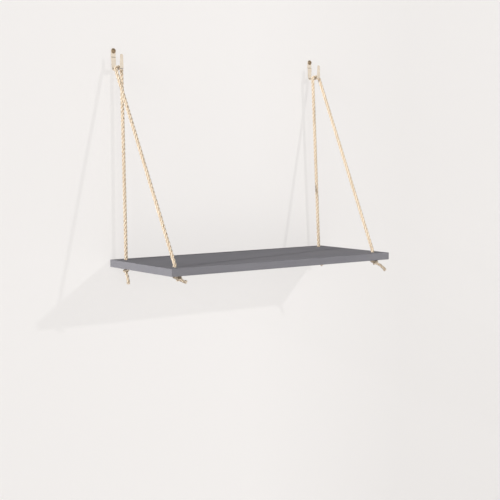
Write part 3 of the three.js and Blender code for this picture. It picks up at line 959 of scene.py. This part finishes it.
def backdrop(name, colour, bounce, one_sided=False):
    """Pale paint that the eye and the metal see partly by its own light, so that shadows on it stay faint.

    Its own light fades a little towards the right. It throws on only the bounce share of the light that
    its colour would. A one-sided backdrop is clear from behind.
    """
    material, nodes, links, output = tree(name)
    path = nodes.new("ShaderNodeLightPath")
    paint = nodes.new("ShaderNodeBsdfDiffuse")
    thrown = tuple(bounce * part for part in colour)
    links.new(mixed(nodes, links, path.outputs["Is Diffuse Ray"], colour, thrown), paint.inputs["Color"])
    fade_from, fade_to, faded = GLOW_FADE_SHARES
    parts = nodes.new("ShaderNodeSeparateXYZ")
    links.new(nodes.new("ShaderNodeTexCoord").outputs["Object"], parts.inputs["Vector"])
    across = math_node(nodes, links, "DIVIDE", parts.outputs["X"], GLOW_SPAN)
    share = math_node(nodes, links, "ADD", across, 0.5)
    glow = nodes.new("ShaderNodeEmission")
    dimmed = tuple(faded * part for part in colour)
    links.new(ramp(nodes, links, share, (fade_from, colour), (fade_to, dimmed)), glow.inputs["Color"])
    seen = math_node(nodes, links, "MAXIMUM", path.outputs["Is Camera Ray"], path.outputs["Is Glossy Ray"])
    both = nodes.new("ShaderNodeMixShader")
    links.new(math_node(nodes, links, "MULTIPLY", seen, GLOW_SHARE), both.inputs["Fac"])
    links.new(paint.outputs["BSDF"], both.inputs[1])
    links.new(glow.outputs["Emission"], both.inputs[2])
    surface = both.outputs["Shader"]
    if one_sided:
        choice = nodes.new("ShaderNodeMixShader")
        links.new(nodes.new("ShaderNodeNewGeometry").outputs["Backfacing"], choice.inputs["Fac"])
        links.new(surface, choice.inputs[1])
        links.new(nodes.new("ShaderNodeBsdfTransparent").outputs["BSDF"], choice.inputs[2])
        surface = choice.outputs["Shader"]
    links.new(surface, output.inputs["Surface"])
    return material


def stage():
    """A pale floor, and a pale wall that only its front side shows, so that the back can be looked at."""
    reach, down = STAGE_REACH, -FLOOR_DROP
    corners = [(-reach, 0, down), (reach, 0, down), (reach, 0, reach), (-reach, 0, reach)]
    wall = plane("wall", corners, backdrop("wall_paint", WALL_COLOUR, BOUNCE_SHARE, one_sided=True))
    corners = [(-reach, -reach, down), (reach, -reach, down), (reach, reach, down), (-reach, reach, down)]
    floor = plane("floor", corners, backdrop("floor_paint", FLOOR_COLOUR, 1))
    for made in (wall, floor):
        made.visible_shadow = False


def towards(made, target):
    made.rotation_euler = (Vector(target) - made.location).to_track_quat("-Z", "Y").to_euler()


def sun(name, azimuth, elevation, level, spread):
    """A lamp far off, turned by its azimuth from -Y towards +X. At level 1 it lights white to 1."""
    data = bpy.data.lights.new(name, "SUN")
    data.energy = level * math.pi
    data.angle = math.radians(spread)
    made = bpy.data.objects.new(name, data)
    scene.collection.objects.link(made)
    turn, rise = math.radians(azimuth), math.radians(elevation)
    direction = Vector((math.sin(turn) * math.cos(rise), -math.cos(turn) * math.cos(rise), math.sin(rise)))
    made.location = SUN_DISTANCE * direction
    made.visible_glossy = False
    towards(made, (0, 0, 0))


def small_lamp(name, place, radius, level, target):
    """A near lamp that throws crisp shadows. At level 1 it lights white to 1 at its target."""
    data = bpy.data.lights.new(name, "POINT")
    data.shadow_soft_size = radius
    data.energy = level * 4 * math.pi**2 * (Vector(place) - Vector(target)).length_squared
    made = bpy.data.objects.new(name, data)
    scene.collection.objects.link(made)
    made.location = place
    made.visible_camera = False
    made.visible_glossy = False


def wall_strip(name, level, centre, size):
    """Light thrown back by the wall beside the board, strongest close to the wall."""
    data = bpy.data.lights.new(name, "AREA")
    data.shape = "RECTANGLE"
    data.size, data.size_y = size
    data.energy = level * math.pi * size[0] * size[1]
    made = bpy.data.objects.new(name, data)
    scene.collection.objects.link(made)
    made.location = centre
    made.visible_camera = False
    made.visible_glossy = False
    towards(made, Vector(centre) - Vector((0, 1, 0)))


def studio():
    """The room round the shelf: pale to the eye, darker overhead in the metal, a soft light on the rest."""
    world = bpy.data.worlds.new("studio")
    world.use_nodes = True
    nodes, links = world.node_tree.nodes, world.node_tree.links
    nodes.clear()
    output = nodes.new("ShaderNodeOutputWorld")
    parts = nodes.new("ShaderNodeSeparateXYZ")
    links.new(nodes.new("ShaderNodeTexCoord").outputs["Generated"], parts.inputs["Vector"])
    overhead = ramp(nodes, links, parts.outputs["Z"], (0.35, FLOOR_COLOUR), (0.8, CEILING_COLOUR))
    path = nodes.new("ShaderNodeLightPath")
    reflected = mixed(nodes, links, path.outputs["Is Camera Ray"], overhead, FLOOR_COLOUR)
    shown = nodes.new("ShaderNodeBackground")
    links.new(reflected, shown.inputs["Color"])
    ambient = nodes.new("ShaderNodeBackground")
    ambient.inputs["Color"].default_value = (1, 1, 1, 1)
    ambient.inputs["Strength"].default_value = AMBIENT
    choice = nodes.new("ShaderNodeMixShader")
    links.new(path.outputs["Is Diffuse Ray"], choice.inputs["Fac"])
    links.new(shown.outputs["Background"], choice.inputs[1])
    links.new(ambient.outputs["Background"], choice.inputs[2])
    links.new(choice.outputs["Shader"], output.inputs["Surface"])
    scene.world = world


def light():
    """A small lamp for the shadows on the wall, a window's light along it, and soft light for the rest."""
    small_lamp("key", KEY_PLACE, KEY_RADIUS, KEY_LEVEL, KEY_TARGET)
    sun("left_window", *LEFT_WINDOW)
    sun("left_soft", *LEFT_SOFT)
    sun("front_soft", *FRONT_SOFT)
    wall_strip("wall_strip", STRIP_LEVEL, STRIP_CENTRE, STRIP_SIZE)
    studio()


# The photograph's view, found from the board's corners, its holes and the screws
CAMERA_PLACE = (-1.506, -2.1185, -0.209)
CAMERA_YAW = 37.06
CAMERA_PITCH = -5.142
CAMERA_LENS = 80.84


def camera():
    data = bpy.data.cameras.new("camera")
    data.lens = CAMERA_LENS
    data.sensor_width = 36
    made = bpy.data.objects.new("camera", data)
    scene.collection.objects.link(made)
    made.location = CAMERA_PLACE
    made.rotation_euler = (math.radians(90 + CAMERA_PITCH), 0, -math.radians(CAMERA_YAW))
    scene.camera = made


camera()
ropes()
painted_board()
for each in SIDES:
    hook(each)
    screw(each)
    wall_plug(each)
stage()
light()
scene.view_settings.view_transform = "Standard"
